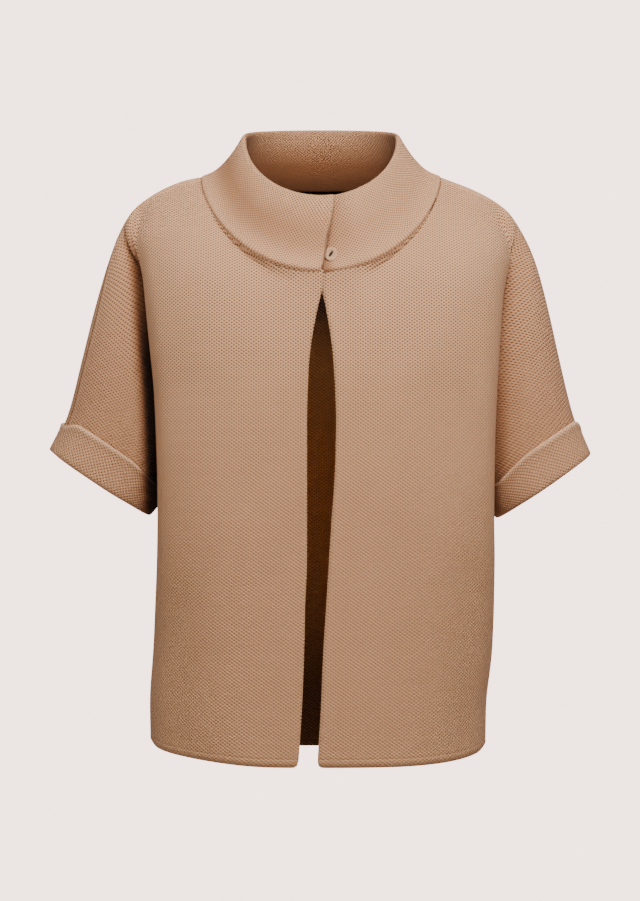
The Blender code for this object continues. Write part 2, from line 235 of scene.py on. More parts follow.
# Where the outer front fold of the body runs: height, out, forward.
FOLD = {
    RIGHT: [
        (-20, 184, 28), (-27, 188, 28), (-45, 195, 28), (-60, 196.5, 30), (-82, 188, 33), (-100, 184, 40),
        (-133, 180.7, 46), (-178, 176, 52), (-218, 171.8, 56), (-270, 169.2, 60), (-306, 168, 62),
        (-341, 167.5, 61), (-394, 168.6, 50), (-440, 171, 34), (-488, 173.5, 20),
        (-556, 177.6, 10), (-600, 177, 8),
    ],
    LEFT: [
        (-20, 181, 28), (-27, 186, 28), (-45, 196, 28), (-60, 200, 29), (-84, 197, 31), (-107, 190, 39),
        (-147, 186, 46), (-178, 184, 52), (-209, 181.8, 56), (-282, 178.5, 60), (-306, 178, 62),
        (-352, 177.6, 60), (-394, 178.6, 50), (-440, 178.6, 34), (-488, 177.5, 20),
        (-556, 171.5, 10), (-600, 171, 8),
    ],
}
# Side seam below the underarm: height, out.
SIDE = {
    RIGHT: [
        (-306, 141), (-341, 147), (-394, 159), (-440, 168), (-488, 172.5), (-556, 177.3), (-600, 176.8),
    ],
    LEFT: [(-306, 149), (-341, 156), (-394, 169), (-440, 175), (-488, 176.5), (-556, 171), (-600, 170.5)],
}
# Front edge of each front: height, place across (towards +X is positive).
FRONT_EDGE = {
    RIGHT: [
        (-98, 2.6), (-112, 2.2), (-122, 0.4), (-130, -1.6), (-148, -5.5), (-178, -10.5), (-196, -12.3),
        (-251, -14), (-343, -14), (-391, -14), (-439, -16), (-487, -17), (-536, -19), (-600, -23),
    ],
    LEFT: [
        (-98, -15), (-108, -9), (-117, -1.5), (-122, 1.2), (-130, 3.6), (-148, 6.8), (-178, 11.4),
        (-196, 12.8), (-251, 15.2), (-301, 14), (-343, 11.1), (-391, 8), (-439, 5), (-487, 2), (-536, 0),
        (-600, -4),
    ],
}
# How far the middle stands out in front and behind: height, front, back.
DEPTH = [
    (0, 60, 84), (-40, 82, 98), (-98, 105, 110), (-150, 113, 116), (-220, 120, 119),
    (-330, 125, 121), (-460, 126, 120), (-600, 126, 119),
]
# The sleeve by rings: share along, outer point (out, height), inner point (out, height), half depth,
# inward bow.
SLEEVE = {
    RIGHT: [
        (0.0, 204.9, -45.7, 141, -306, 27, 24),
        (0.12, 213, -63, 141.5, -306.5, 33, 14),
        (0.25, 221, -85, 143, -307.5, 40, 6),
        (0.45, 235, -133, 147, -310, 46, 0),
        (0.65, 248, -185, 151.5, -313.5, 49, 0),
        (0.85, 263.4, -245, 158, -320, 50, 0),
        (1.0, 279.6, -279.2, 179.5, -345.5, 52, 0),
    ],
    LEFT: [
        (0.0, 203.8, -45.7, 149, -306, 27, 24),
        (0.12, 213, -62, 149.5, -306.5, 33, 14),
        (0.25, 223, -85, 151, -307.5, 40, 6),
        (0.45, 236, -133, 155, -310.5, 46, 0),
        (0.65, 247.6, -185, 160, -315, 49, 0),
        (0.85, 262.6, -246, 166.5, -322.5, 50, 0),
        (1.0, 277.6, -283.5, 184, -348.5, 52, 0),
    ],
}


def curve(table, at, column):
    """A smooth line through one column of a table whose first column falls or rises."""
    xs = np.array([row[0] for row in table], float)
    ys = np.array([row[column] for row in table], float)
    if xs[0] > xs[-1]:
        xs = xs[::-1]
        ys = ys[::-1]
    at = np.clip(at, xs[0], xs[-1])
    i = int(np.clip(np.searchsorted(xs, at) - 1, 0, len(xs) - 2))
    slopes = np.diff(ys) / np.diff(xs)
    tangents = np.empty(len(xs))
    tangents[0] = slopes[0]
    tangents[-1] = slopes[-1]
    for k in range(1, len(xs) - 1):
        a = slopes[k - 1]
        b = slopes[k]
        tangents[k] = 0.0 if a * b <= 0 else 2 * a * b / (a + b)
    h = xs[i + 1] - xs[i]
    t = (at - xs[i]) / h
    return (
        ys[i] * (2 * t**3 - 3 * t**2 + 1)
        + h * tangents[i] * (t**3 - 2 * t**2 + t)
        + ys[i + 1] * (3 * t**2 - 2 * t**3)
        + h * tangents[i + 1] * (t**3 - t**2)
    )


def smooth(t):
    t = min(1.0, max(0.0, t))
    return t * t * (3 - 2 * t)


def under_push(angle):
    """How far the covered end of the neck sits behind the end on top of it."""
    return collar_under_push * smooth((angle - 336) / 19)


def neck_point(angle):
    """The neck seam at an angle in degrees from the middle of the front towards the wearer's right."""
    a = math.radians(angle)
    forward = math.cos(a)
    x = -neck_half_width * math.sin(a)
    if forward > 0:
        y = -neck_front_depth * forward
        z = neck_side_height - neck_front_drop * forward**1.2
    else:
        y = -neck_back_depth * forward
        z = neck_side_height - neck_back_drop * (-forward)
    return np.array([x, y + under_push(angle), z])


def ring_point(side, face, share, t):
    """A point of the sleeve: share along it, and t from the over-arm line (0) to the underarm line (1)."""
    row = [curve(SLEEVE[side], share, c) for c in range(1, 7)]
    outer = np.array([row[0], row[1]])
    inner = np.array([row[2], row[3]])
    if share > 1:
        # Past the sleeve's end the surface goes straight on.
        last = [curve(SLEEVE[side], 1.0, c) for c in range(1, 5)]
        before = [curve(SLEEVE[side], 0.97, c) for c in range(1, 5)]
        step = (share - 1) / 0.03
        beyond = [at_end + (at_end - earlier) * step for at_end, earlier in zip(last, before)]
        outer = np.array(beyond[:2])
        inner = np.array(beyond[2:])
    middle = (outer + inner) / 2
    turned = seam_turn * smooth(share / 0.5) if side == RIGHT else 0.0
    a = turned + (math.pi - turned) * t if face == FRONT else (math.pi + turned) * t - turned
    across = math.copysign(abs(math.cos(a)) ** sleeve_roundness, math.cos(a))
    deep = math.copysign(abs(math.sin(a)) ** sleeve_roundness, math.sin(a))
    place = middle + (outer - middle) * across
    out = place[0] - row[5] * abs(deep) ** 3
    return np.array([side * out, face * row[4] * deep, place[1]])


def shoulder_point(side, share):
    """A point of the shoulder line: share from the neck to the start of the sleeve."""
    table = [(i / (len(SHOULDER[side]) - 1), x, z) for i, (x, z) in enumerate(SHOULDER[side])]
    return np.array([side * curve(table, share, 1), 0.0, curve(table, share, 2)])


def section_point(side, face, share, z):
    """A point on the body's level section: share 0 at the middle or front edge, 1 at the outer fold."""
    fold = curve(FOLD[side], z, 1)
    forward = curve(FOLD[side], z, 2) * (1.0 if face == FRONT else back_fold_share)
    deep = curve(DEPTH, z, 1 if face == FRONT else 2)
    if face == FRONT:
        start = curve(FRONT_EDGE[side], z, 1) * side
    else:
        start = 0.0
        fold -= back_fold_inset
    across = start + (fold - start) * share
    full = max(0.0, 1 - (abs(across) / fold) ** section_power)
    back = forward + (deep - forward) * full**section_roundness
    return np.array([side * across, face * back, z])


def side_point(side, z):
    """A point of the side seam."""
    return np.array([side * curve(SIDE[side], z, 1), 0.0, z])


def bezier(a, b, c, d, t):
    return a * (1 - t) ** 3 + 3 * b * t * (1 - t) ** 2 + 3 * c * t * t * (1 - t) + d * t**3


def top_point(side, face, column):
    """The neck seam and then the shoulder seam, column by column."""
    if column <= neck_columns:
        share = column / neck_columns
        if face == BACK:
            return neck_point(180 - 90 * share if side == RIGHT else 180 + 90 * share)
        if side == RIGHT:
            return neck_point(-1.2 + 91.2 * share)
        return neck_point(367.0 - 97.0 * share)
    if column <= inner_columns:
        return shoulder_point(side, shoulder_share * (column - neck_columns) / shoulder_columns)
    share = (column - inner_columns) / fold_columns
    return shoulder_point(side, shoulder_share + (1 - shoulder_share) * share)


def hem_lift(side, x, y):
    """The hem rises a little towards the side seams, and more so on the wearer's right."""
    rise = hem_side_rise * (1 - min(1.0, abs(y) / 118.0)) ** 1.3
    return rise + (4.5 * smooth((abs(x) - 45) / 100) if side == RIGHT else 0.0)


def sleeve_share(ring):
    """The share along the sleeve of a ring, which may lie between two."""
    k = min(len(sleeve_shares) - 2, int(ring))
    return sleeve_shares[k] + (sleeve_shares[k + 1] - sleeve_shares[k]) * (ring - k)


def panel_point(side, face, r, c):
    """A point of a panel by row and column, which may lie between the rows and columns."""
    if r <= upper_rows:
        t = r / upper_rows
        if c > body_columns:
            return ring_point(side, face, sleeve_share(c - body_columns), t)
        first = ring_point(side, face, 0, 0)
        meet = ring_point(side, face, 0, t)
        if c == body_columns:
            return meet
        level = (meet[2] - first[2]) / (underarm_height - first[2])
        top = top_point(side, face, c)
        z = top[2] + (underarm_height - top[2]) * level
        fallen = top[2] - z
        power = 0.6 + (0.14 if face == FRONT else -0.25) * (1 - min(1.0, c / inner_columns) ** 3)
        rise = math.sin(math.pi / 2 * min(1.0, fallen / shoulder_rounding)) ** power
        if c <= inner_columns:
            flat = section_point(side, face, (c / inner_columns) ** column_spread, z)
        else:
            s = (c - inner_columns) / fold_columns
            near = section_point(side, face, 1.0, z)
            end = np.array([meet[0], meet[1], z])
            # Lower down the cloth turns back under the arm in a hook, and meets the sleeve from behind.
            hooked = smooth((-50 - z) / 70)
            reach = np.linalg.norm(near[:2] - end[:2])
            lead = np.array([side * (1 - hooked), -face * hooked, 0]) * reach * (0.35 + 0.3 * hooked)
            flat = bezier(near, near + lead, end + np.array([side * 3.0 * hooked, 0, 0]), end, s)
            rise += (1 - rise) * smooth(s) * smooth(12 * t)
        # In front the cloth leaves the neck seam at a gentler slope.
        if face == FRONT and c < inner_columns:
            rise *= 1 - 0.38 * (1 - smooth(fallen / 19))
        w = smooth(fallen / (6 + 64 * min(1.0, c / neck_columns)))
        x = top[0] + (flat[0] - top[0]) * w
        y = top[1] + (flat[1] - top[1]) * rise
        # The left front is pushed back under the covered end of the collar.
        if side == LEFT and face == FRONT:
            angle = 360 + 57.3 * math.asin(max(-0.9, min(0.9, -x / neck_half_width)))
            y += under_push(angle) * smooth((z + 150) / 45) * rise
        return np.array([x, y, z])
    t = (r - upper_rows) / lower_rows
    z = underarm_height + (hem_height - underarm_height) * t
    if c <= inner_columns:
        p = section_point(side, face, (c / inner_columns) ** column_spread, z)
    else:
        s = (c - inner_columns) / fold_columns
        near = section_point(side, face, 1.0, z)
        end = side_point(side, z)
        back = np.array([0, -face, 0]) * abs(near[1])
        p = bezier(near, near + back * 0.45, end - back * 0.4, end, s)
    p[2] += hem_lift(side, p[0], p[1]) * t**3
    return p


# The soft folds of the hanging cloth. Each runs from one point to another in the front view.
# side, face, start across and height, end across and height, half width, how far out (in, if negative)
FOLDS = [
    (RIGHT, FRONT, 150, -52, 96, -205, 22, 1.6),
    (RIGHT, FRONT, 128, -40, 74, -160, 16, -1.2),
    (RIGHT, FRONT, 92, -330, 104, -590, 30, 1.8),
    (RIGHT, FRONT, 60, -380, 58, -590, 24, -1.4),
    (RIGHT, FRONT, 140, -420, 146, -596, 18, -1.6),
    (LEFT, FRONT, 168, -60, 92, -225, 20, 2.2),
    (LEFT, FRONT, 140, -42, 70, -170, 15, -1.5),
    (LEFT, FRONT, 100, -300, 118, -585, 34, 1.8),
    (LEFT, FRONT, 62, -340, 70, -590, 22, -1.6),
    (LEFT, FRONT, 150, -390, 148, -594, 16, -1.8),
    (RIGHT, BACK, 40, -60, 66, -590, 34, 2.6),
    (RIGHT, BACK, 96, -90, 112, -585, 26, -2.4),
    (RIGHT, BACK, 8, -130, 14, -560, 22, -1.7),
    (LEFT, BACK, 46, -70, 58, -580, 30, 2.4),
    (LEFT, BACK, 104, -110, 124, -592, 28, -2.6),
]


def fold_shift(side, face, p):
    """How far the soft folds move a point of the cloth out, in all."""
    total = 0.0
    for s, f, x0, z0, x1, z1, width, out in FOLDS:
        if s != side or f != face:
            continue
        ax = abs(p[0]) - x0
        az = p[2] - z0
        dx = x1 - x0
        dz = z1 - z0
        length = math.hypot(dx, dz)
        along = (ax * dx + az * dz) / length
        away = (ax * dz - az * dx) / length
        fade = width * 1.8
        ends = smooth((along + width * 0.4) / fade) * smooth((length * 1.08 - along) / fade)
        total += out * ends * math.exp(-((away / width) ** 2))
    return total


def new_object(name, points, faces):
    mesh = bpy.data.meshes.new(name)
    mesh.from_pydata([tuple(float(v) * MM for v in p) for p in points], [], faces)
    for polygon in mesh.polygons:
        polygon.use_smooth = True
    made = bpy.data.objects.new(name, mesh)
    scene.collection.objects.link(made)
    return made


def measure(thing, name, values):
    """Keeps a number for each vertex, such as its distance from an edge, for the materials to read."""
    kept = thing.data.attributes.new(name, "FLOAT", "POINT")
    kept.data.foreach_set("value", np.array(values, np.float32))


def section_reach(side, face, x, z):
    """How far it is over the cloth, at one level, from the middle of the body out to x."""
    fold = curve(FOLD[side], z, 1)
    forward = curve(FOLD[side], z, 2)
    deep = curve(DEPTH, z, 1 if face == FRONT else 2)
    across = np.linspace(0.0, min(abs(x), fold), 14)
    full = np.maximum(0.0, 1 - (across / fold) ** section_power)
    back = forward + (deep - forward) * full**section_roundness
    return float(np.hypot(np.diff(across), np.diff(back)).sum()) + max(0.0, abs(x) - fold)


# How far the flat sleeve is turned up from the way it hangs, in degrees: in the cut, and in the run of
# its wales, the columns of stitches.
CUT_TURN = 34
WALE_TURN = -12


def flat_quarter(side, face, grid, last, lift):
    """The cut of a quarter in mm: its body by lengths over the cloth, and its sleeve turned up to it."""
    rows = 2 * upper_rows
    body = [[None] * (last + 1) for _ in grid]
    for j in range(last + 1):
        v = [0.0] * len(grid)
        for i in range(rows - 1, -1, -1):
            step = grid[i][j] - grid[i + 1][j]
            v[i] = v[i + 1] + math.hypot(step[1], step[2])
        for i in range(rows + 1, len(grid)):
            step = grid[i][j] - grid[i - 1][j]
            v[i] = v[i - 1] - math.hypot(step[1], step[2])
        for i in range(len(grid)):
            p = grid[i][j]
            if j <= 2 * inner_columns:
                u = section_reach(side, face, p[0], p[2]) * (1 if p[0] * side >= 0 else -1)
            else:
                before = grid[i][j - 1]
                u = body[i][j - 1][0] + math.hypot(p[0] - before[0], p[1] - before[1])
            body[i][j] = (u, v[i])
    sleeve = [[None] * len(grid[0]) for _ in range(rows + 1)]
    tip = body[0][last]
    start = np.array([curve(SLEEVE[side], 0.0, 1), curve(SLEEVE[side], 0.0, 2)])
    for j in range(last, len(grid[0])):
        share = sleeve_share((j - last) / 2)
        ends = [curve(SLEEVE[side], share, c) for c in range(1, 5)]
        outer = np.array(ends[:2])
        along = np.array(ends[2:]) - outer
        along /= np.linalg.norm(along)
        run = 0.0
        for i in range(rows + 1):
            if i:
                run += float(np.linalg.norm(grid[i][j] - grid[i - 1][j]))
            out, up = outer + along * run - start
            a = math.radians(lift) * smooth(math.hypot(out, up) / 110)
            sleeve[i][j] = (
                tip[0] + out * math.cos(a) - up * math.sin(a),
                tip[1] + out * math.sin(a) + up * math.cos(a),
            )
    return body, sleeve


def fold_shade(side, p):
    """How deep a point of the sleeve lies in the shade of the body's outer fold, from 0 to 1."""
    beyond = p[0] * side - curve(FOLD[side], p[2], 1)
    if side == RIGHT:
        down = 0.75 * smooth((-30 - p[2]) / 70) + 0.25 * smooth((-110 - p[2]) / 100)
        return (1 - smooth((beyond - 6) / 15)) * down
    down = (0.44 + 0.12 * smooth((-150 - p[2]) / 130)) * smooth((-30 - p[2]) / 90)
    return (1 - smooth((beyond - 2) / 27)) * down


# The least shade on a sleeve, how far the cloth sinks where the shade is deepest, and where a measured
# distance stops.
SLEEVE_SHADE = 0.28
crease_depth = 9.0
FAR = 300.0
# The height of a row at the shoulder seam, the rows that the sleeve's pleat shows in on the inside, and
# where the hanging cloth starts to be stretched and over what height.
seam_row_height = 12.0
pleat_rows = 7
taut_from = -330
taut_over = 260


def make_panel(name, parts, sign):
    """One panel of cloth from its quarters, with fine rows and columns, its folds and its flat map."""
    points = []
    facts = []
    index = {}
    faces = []
    corners = []
    lies = []
    all_columns = body_columns + len(sleeve_shares) - 1
    last = 2 * body_columns
    for side, face in parts:
        grid = []
        places = []
        for i in range(2 * (upper_rows + lower_rows) + 1):
            r = i / 2
            wide = all_columns if r <= upper_rows else body_columns
            row = []
            places.append([panel_point(side, face, r, j / 2) for j in range(2 * wide + 1)])
            for j, p in enumerate(places[-1]):
                key = tuple(int(round(v * 100)) for v in p)
                if key not in index:
                    index[key] = len(points)
                    points.append(p)
                    facts.append((side, face, r, j / 2))
                row.append(index[key])
            grid.append(row)
        cut = flat_quarter(side, face, places, last, CUT_TURN)
        lie = flat_quarter(side, face, places, last, WALE_TURN)
        for i in range(len(grid) - 1):
            for j in range(min(len(grid[i]), len(grid[i + 1])) - 1):
                half = 0 if j < last else 1
                square = [(i, j), (i + 1, j), (i + 1, j + 1), (i, j + 1)]
                if side * face > 0:
                    square.reverse()
                ids = []
                for a, b in square:
                    if grid[a][b] not in ids:
                        ids.append(grid[a][b])
                        corners.append((sign * side * cut[half][a][b][0], cut[half][a][b][1]))
                        lies.append((sign * side * lie[half][a][b][0], lie[half][a][b][1]))
                if len(ids) > 2:
                    faces.append(ids)
                else:
                    del corners[-len(ids):]
                    del lies[-len(ids):]
    moved = []
    shades = []
    for p, (side, face, r, c) in zip(points, facts):
        if c <= body_columns:
            away = fold_shift(side, face, p) * smooth(r / 2.5)
            radial = np.array([p[0] * 0.35, p[1], 0.0])
            p = p + radial / max(np.linalg.norm(radial), 1e-6) * away
        shade = 0.0
        if c > inner_columns and r <= upper_rows:
            shade = fold_shade(side, p) * smooth((c - inner_columns) / 1.5)
        if c >= body_columns:
            p = p + np.array([0.0, -face * crease_depth * shade, 0.0])
            shade = max(shade, SLEEVE_SHADE)
        shades.append(shade)
        moved.append(p)
    made = new_object(name, moved, faces)
    area = sum(polygon.area for polygon in made.data.polygons)
    flat = np.array(corners) * MM
    flat -= flat.min(axis=0)
    for layer, values in (("knit", flat), ("wales", np.array(lies) * MM)):
        made.data.uv_layers.new(name=layer)
        made.data.uv_layers[layer].uv.foreach_set("vector", values.ravel())
    row_height = (underarm_height - hem_height) / lower_rows
    from_hem = []
    from_seam = []
    pleated = []
    for side, face, r, c in facts:
        from_hem.append(min(FAR, (upper_rows + lower_rows - r) * row_height))
        pull = 0.55 + 0.45 * smooth((c - neck_columns - 3) / 4)
        from_seam.append(min(FAR, r * seam_row_height * pull) if c >= neck_columns else FAR)
        pleated.append(1.0 if c > inner_columns - 1 and r <= pleat_rows else 0.0)
    measure(made, "hem_mm", from_hem)
    measure(made, "seam_mm", from_seam)
    measure(made, "crease_shade", shades)
    measure(made, "taut", [smooth((p[2] - taut_from) / taut_over) for p in moved])
    measure(made, "pleat", pleated)
    return made, (float(flat[:, 0].max()), float(flat[:, 1].max()), float(area))


# The knit: a fine stitch with staggered eyelets, 5.0 mm by 3.5 mm apart, in camel yarn, and the ribs that
# link the collar on. In metres.
STITCH_WIDE = 0.0050
STITCH_HIGH = 0.0035
RIB_PITCH = 0.003


def math_node(tree, operation, first, second=None, place=(0, 0)):
    made = node(tree, "ShaderNodeMath", place, operation=operation)
    put(tree, first, made.inputs[0])
    if second is not None:
        put(tree, second, made.inputs[1])
    return made.outputs[0]


lattice = bpy.data.node_groups.new("knit_lattice", "ShaderNodeTree")
for name, way, kind in (("Vector", "INPUT", "Vector"), ("Eyelet", "OUTPUT", "Float"),
                        ("Relief", "OUTPUT", "Float"), ("Fuzz", "OUTPUT", "Float")):
    lattice.interface.new_socket(name=name, in_out=way, socket_type="NodeSocket" + kind)
start = node(lattice, "NodeGroupInput", (-1400, 0))
finish_node = node(lattice, "NodeGroupOutput", (600, 0))
wobble = noise(lattice, start.outputs["Vector"], 60.0, (-1200, -300), 1.0)
shifted = node(lattice, "ShaderNodeVectorMath", (-1000, -300), operation="MULTIPLY_ADD")
shifted.inputs[1].default_value = (0.0006, 0.0005, 0.0)
lattice.links.new(wobble.outputs["Color"], shifted.inputs[0])
lattice.links.new(start.outputs["Vector"], shifted.inputs[2])
split = node(lattice, "ShaderNodeSeparateXYZ", (-800, -200))
lattice.links.new(shifted.outputs[0], split.inputs[0])
waves = []
for axis, pitch in ((0, STITCH_WIDE), (1, STITCH_HIGH)):
    turn = math_node(lattice, "MULTIPLY", split.outputs[axis], 2 * math.pi / pitch, (-600, 100 - 200 * axis))
    waves.append(math_node(lattice, "COSINE", turn, None, (-400, 100 - 200 * axis)))
wave = math_node(lattice, "MULTIPLY", waves[0], waves[1], (-200, 0))
lattice.links.new(ranged(lattice, wave, (0, 100), 0.15, 0.8), finish_node.inputs["Eyelet"])
lattice.links.new(math_node(lattice, "MULTIPLY", wave, -0.5, (0, -100)), finish_node.inputs["Relief"])
fuzz = noise(lattice, start.outputs["Vector"], 900.0, (0, -300))
lattice.links.new(fuzz.outputs["Fac"], finish_node.inputs["Fuzz"])


def kept(tree, attribute, place):
    """Reads what was measured for each vertex."""
    return node(tree, "ShaderNodeAttribute", place, attribute_name=attribute).outputs["Fac"]


def near(tree, attribute, full, none, place):
    """A mask that is 1 where a measured distance is under the first number and 0 beyond the second."""
    return ranged(tree, kept(tree, attribute, place), (place[0] + 200, place[1]), full, none, 1.0, 0.0)


def add_part(tree, value, mask, amount, place):
    """Adds an amount where a mask is 1."""
    part = math_node(tree, "MULTIPLY", mask, amount, place)
    return math_node(tree, "ADD", value, part, (place[0] + 300, place[1]))


def thin(tree, value, mask, amount, place):
    """Takes a share of a value away where a mask is 1."""
    part = math_node(tree, "MULTIPLY", mask, amount, place)
    keep = math_node(tree, "SUBTRACT", 1.0, part, (place[0] + 150, place[1]))
    return math_node(tree, "MULTIPLY", value, keep, (place[0] + 300, place[1]))


def tint(tree, colour, mask, amount, towards, place):
    """Turns a colour towards another where a mask is 1."""
    part = math_node(tree, "MULTIPLY", mask, amount, place)
    return blend(tree, part, colour, towards, (place[0] + 200, place[1]))


def seam_knit_and_shade(tree, colour, holes, height, dark):
    """The knit opens where the cloth is stretched and darkens lower down with painted shade; it is plain
    beside the over-arm seam and grooved, with painted shade in the groove.
    """
    taut = kept(tree, "taut", (-1550, -500))
    open_knit = ranged(tree, taut, (-1300, -500), least=0.55, most=2.4, soft=False)
    holes = math_node(tree, "MULTIPLY", holes, open_knit, (-1050, -500))
    low_painted_shade = math_node(tree, "SUBTRACT", 1.0, taut, (-1300, -750))
    # Painted shade: the colour darkens lower down the cloth.
    colour = tint(tree, colour, low_painted_shade, 0.5, (0.40, 0.19, 0.085), (-1150, -750))
    band = near(tree, "seam_mm", 6.5, 9.0, (-1550, -900))
    holes = thin(tree, holes, band, 0.7, (-1100, -900))
    height = add_part(tree, height, band, 0.7, (-1100, -1050))
    # Painted shade in the groove beside the seam.
    colour = tint(tree, colour, near(tree, "seam_mm", 0.3, 2.4, (-1550, -1150)), 0.75, dark, (-1100, -1200))
    return colour, holes, height


def hem_knit_and_shade(tree, colour, holes, height, dark):
    """A turned hem, plain below a fine sunken line that is darkened a little with painted shade."""
    outer = near(tree, "hem_mm", 8.2, 10.4, (-1550, -1400))
    inner = near(tree, "hem_mm", 6.6, 8.2, (-1550, -1600))
    line = math_node(tree, "SUBTRACT", outer, inner, (-1000, -1500))
    height = add_part(tree, height, line, -0.5, (-850, -1500))
    holes = thin(tree, holes, outer, 0.8, (-850, -1650))
    return tint(tree, colour, line, 0.08, dark, (-850, -1400)), holes, height


def lining_shade_and_pale_fold(tree, colour):
    """The inside lies in deep shade near the hem and at the shoulders, and is light in the sleeve's fold."""
    low = near(tree, "hem_mm", 50.0, 330.0, (-1550, -2600))
    colour = tint(tree, colour, low, 0.92, (0.012, 0.004, 0.002), (-1100, -2600))
    high = kept(tree, "taut", (-1550, -2700))
    colour = tint(tree, colour, high, 1.15, (0.02, 0.006, 0.002), (-1100, -2700))
    return blend(tree, kept(tree, "pleat", (-1550, -2800)), colour, (0.45, 0.23, 0.11), (-700, -2800))


def foot_knit_and_shade(tree, colour, holes, height, dark, flat):
    """The collar's foot is linked on by short ribs over a groove with painted shade in it; its inside is
    smooth and darkened by painted shade, as are the waist of the band and the covered end beside the top end.
    """
    ribs = near(tree, "foot_mm", 7.0, 11.0, (-1550, -1800))
    split = node(tree, "ShaderNodeSeparateXYZ", (-1550, -2000))
    tree.links.new(flat, split.inputs[0])
    turn = math_node(tree, "MULTIPLY", split.outputs[0], 2 * math.pi / RIB_PITCH, (-1350, -2000))
    dents = ranged(tree, math_node(tree, "SINE", turn, None, (-1200, -2000)), (-1050, -2000), 0.1, 1.0)
    ribs = math_node(tree, "MULTIPLY", ribs, kept(tree, "aside", (-1350, -2150)), (-1050, -1900))
    sunk = math_node(tree, "MULTIPLY", dents, ribs, (-900, -1900))
    holes = add_part(tree, thin(tree, holes, ribs, 1.0, (-900, -1800)), sunk, 0.6, (-500, -1900))
    height = add_part(tree, height, sunk, -0.8, (-700, -2000))
    colour = tint(tree, colour, near(tree, "foot_mm", 0.8, 4.2, (-1550, -2200)), 0.45, dark, (-1100, -2200))
    depth = kept(tree, "collar_painted_shade", (-1550, -2400))
    colour = tint(tree, colour, depth, 0.9, dark, (-1300, -2400))
    height = thin(tree, height, depth, 0.8, (-1100, -2500))
    return colour, thin(tree, holes, depth, 0.3, (-1100, -2550)), height


def knit_material(
    name, yarn, dark, hole_depth, gauge=1.0,
    hem=False, seam=False, crease=False, foot=False, lining=False, ridge=False,
):
    """Knit on the flat map: eyelets in colour and relief, yarn fuzz, uneven dye and each piece's finish, with
    painted shade and painted highlight where a piece has them.
    """
    sheen = {"Specular IOR Level": 0.08, "Sheen Weight": 0.06, "Sheen Roughness": 0.6}
    made, tree, shader = new_material(name, sheen)
    layer = "wales" if seam or lining else "knit"
    flat = node(tree, "ShaderNodeUVMap", (-1800, 0), uv_map=layer).outputs["UV"]
    finer = node(tree, "ShaderNodeVectorMath", (-1680, 100), {"Scale": 1.0 / gauge}, operation="SCALE")
    tree.links.new(flat, finer.inputs[0])
    knit = node(tree, "ShaderNodeGroup", (-1550, 0), node_tree=lattice)
    tree.links.new(finer.outputs[0], knit.inputs["Vector"])
    patch = noise(tree, flat, 16.0, (-1550, -300), 3.0).outputs["Fac"]
    colour = blend(tree, patch, yarn, [v * 0.92 for v in yarn], (-1250, 100))
    holes = math_node(tree, "MULTIPLY", knit.outputs["Eyelet"], hole_depth, (-1250, -100))
    drift = ranged(tree, patch, (-1250, -250), 0.3, 0.7, 0.75, 1.15, soft=False)
    holes = math_node(tree, "MULTIPLY", holes, drift, (-1050, -200))
    height = add_part(tree, knit.outputs["Relief"], knit.outputs["Fuzz"], 0.3, (-1250, -400))
    if seam:
        colour, holes, height = seam_knit_and_shade(tree, colour, holes, height, dark)
    if hem:
        colour, holes, height = hem_knit_and_shade(tree, colour, holes, height, dark)
    if lining:
        colour = lining_shade_and_pale_fold(tree, colour)
    if foot:
        colour, holes, height = foot_knit_and_shade(tree, colour, holes, height, dark, flat)
    if ridge:
        # Painted highlight on the cuff's rolled edge, which also has fewer eyelets.
        rolled = kept(tree, "ridge", (-1550, -3000))
        holes = thin(tree, holes, rolled, 0.7, (-1100, -3000))
        colour = tint(tree, colour, rolled, 0.55, (0.86, 0.50, 0.30), (-1100, -3100))
    colour = blend(tree, holes, colour, (0.15, 0.058, 0.024), (-350, 100))
    # Painted shade from crease_shade, beside the body's outer fold and on the sleeves and cuffs: warm brown,
    # then near black.
    if crease:
        depth = kept(tree, "crease_shade", (-1550, -700))
        for low, high, most, shade in ((0.0, 0.8, 0.86, dark), (0.55, 1.0, 0.97, (0.010, 0.004, 0.002))):
            part = ranged(tree, depth, (-1300, -700), low, high, most=most)
            colour = blend(tree, part, colour, shade, (-1050, 300))
    tree.links.new(colour, shader.inputs["Base Color"])
    rough = ranged(tree, knit.outputs["Fuzz"], (-850, -250), least=0.82, most=0.98, soft=False)
    tree.links.new(rough, shader.inputs["Roughness"])
    bump = node(tree, "ShaderNodeBump", (-250, -250), {"Strength": 0.8, "Distance": 0.0009 * gauge})
    tree.links.new(height, bump.inputs["Height"])
    tree.links.new(bump.outputs["Normal"], shader.inputs["Normal"])
    return made


CAMEL = (0.68, 0.37, 0.20)
CAMEL_SHADE = (0.16, 0.045, 0.012)
# The inside is the same yarn in a darker, more saturated colour: painted shade.
INSIDE = (0.76, 0.27, 0.07)
INSIDE_SHADE = (0.03, 0.01, 0.004)
body_knit = knit_material("body_knit", CAMEL, CAMEL_SHADE, 0.7, hem=True, seam=True, crease=True)
inside_knit = knit_material("inside_knit", INSIDE, INSIDE_SHADE, 0.6, lining=True)


def refine(thing):
    finer = thing.modifiers.new("finer", "SUBSURF")
    finer.levels = 1
    finer.render_levels = 1


def place_piece(thing, node_name):
    """Rides with the jacket in place of its solid."""
    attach(thing, "root")
    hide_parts(node_name)


for name, node_name, parts, sign in (
    ("back_knit", "back", [(RIGHT, BACK), (LEFT, BACK)], -1),
    ("front_right_knit", "front_right", [(RIGHT, FRONT)], 1),
    ("front_left_knit", "front_left", [(LEFT, FRONT)], 1),
):
    made, size = make_panel(name, parts, sign)
    made.data.materials.append(body_knit)
    made.data.materials.append(inside_knit)
    refine(made)
    wall = made.modifiers.new("wall", "SOLIDIFY")
    wall.thickness = cloth_thickness * MM
    wall.offset = -1.0
    wall.material_offset = 1
    wall.material_offset_rim = 0
    place_piece(made, node_name)

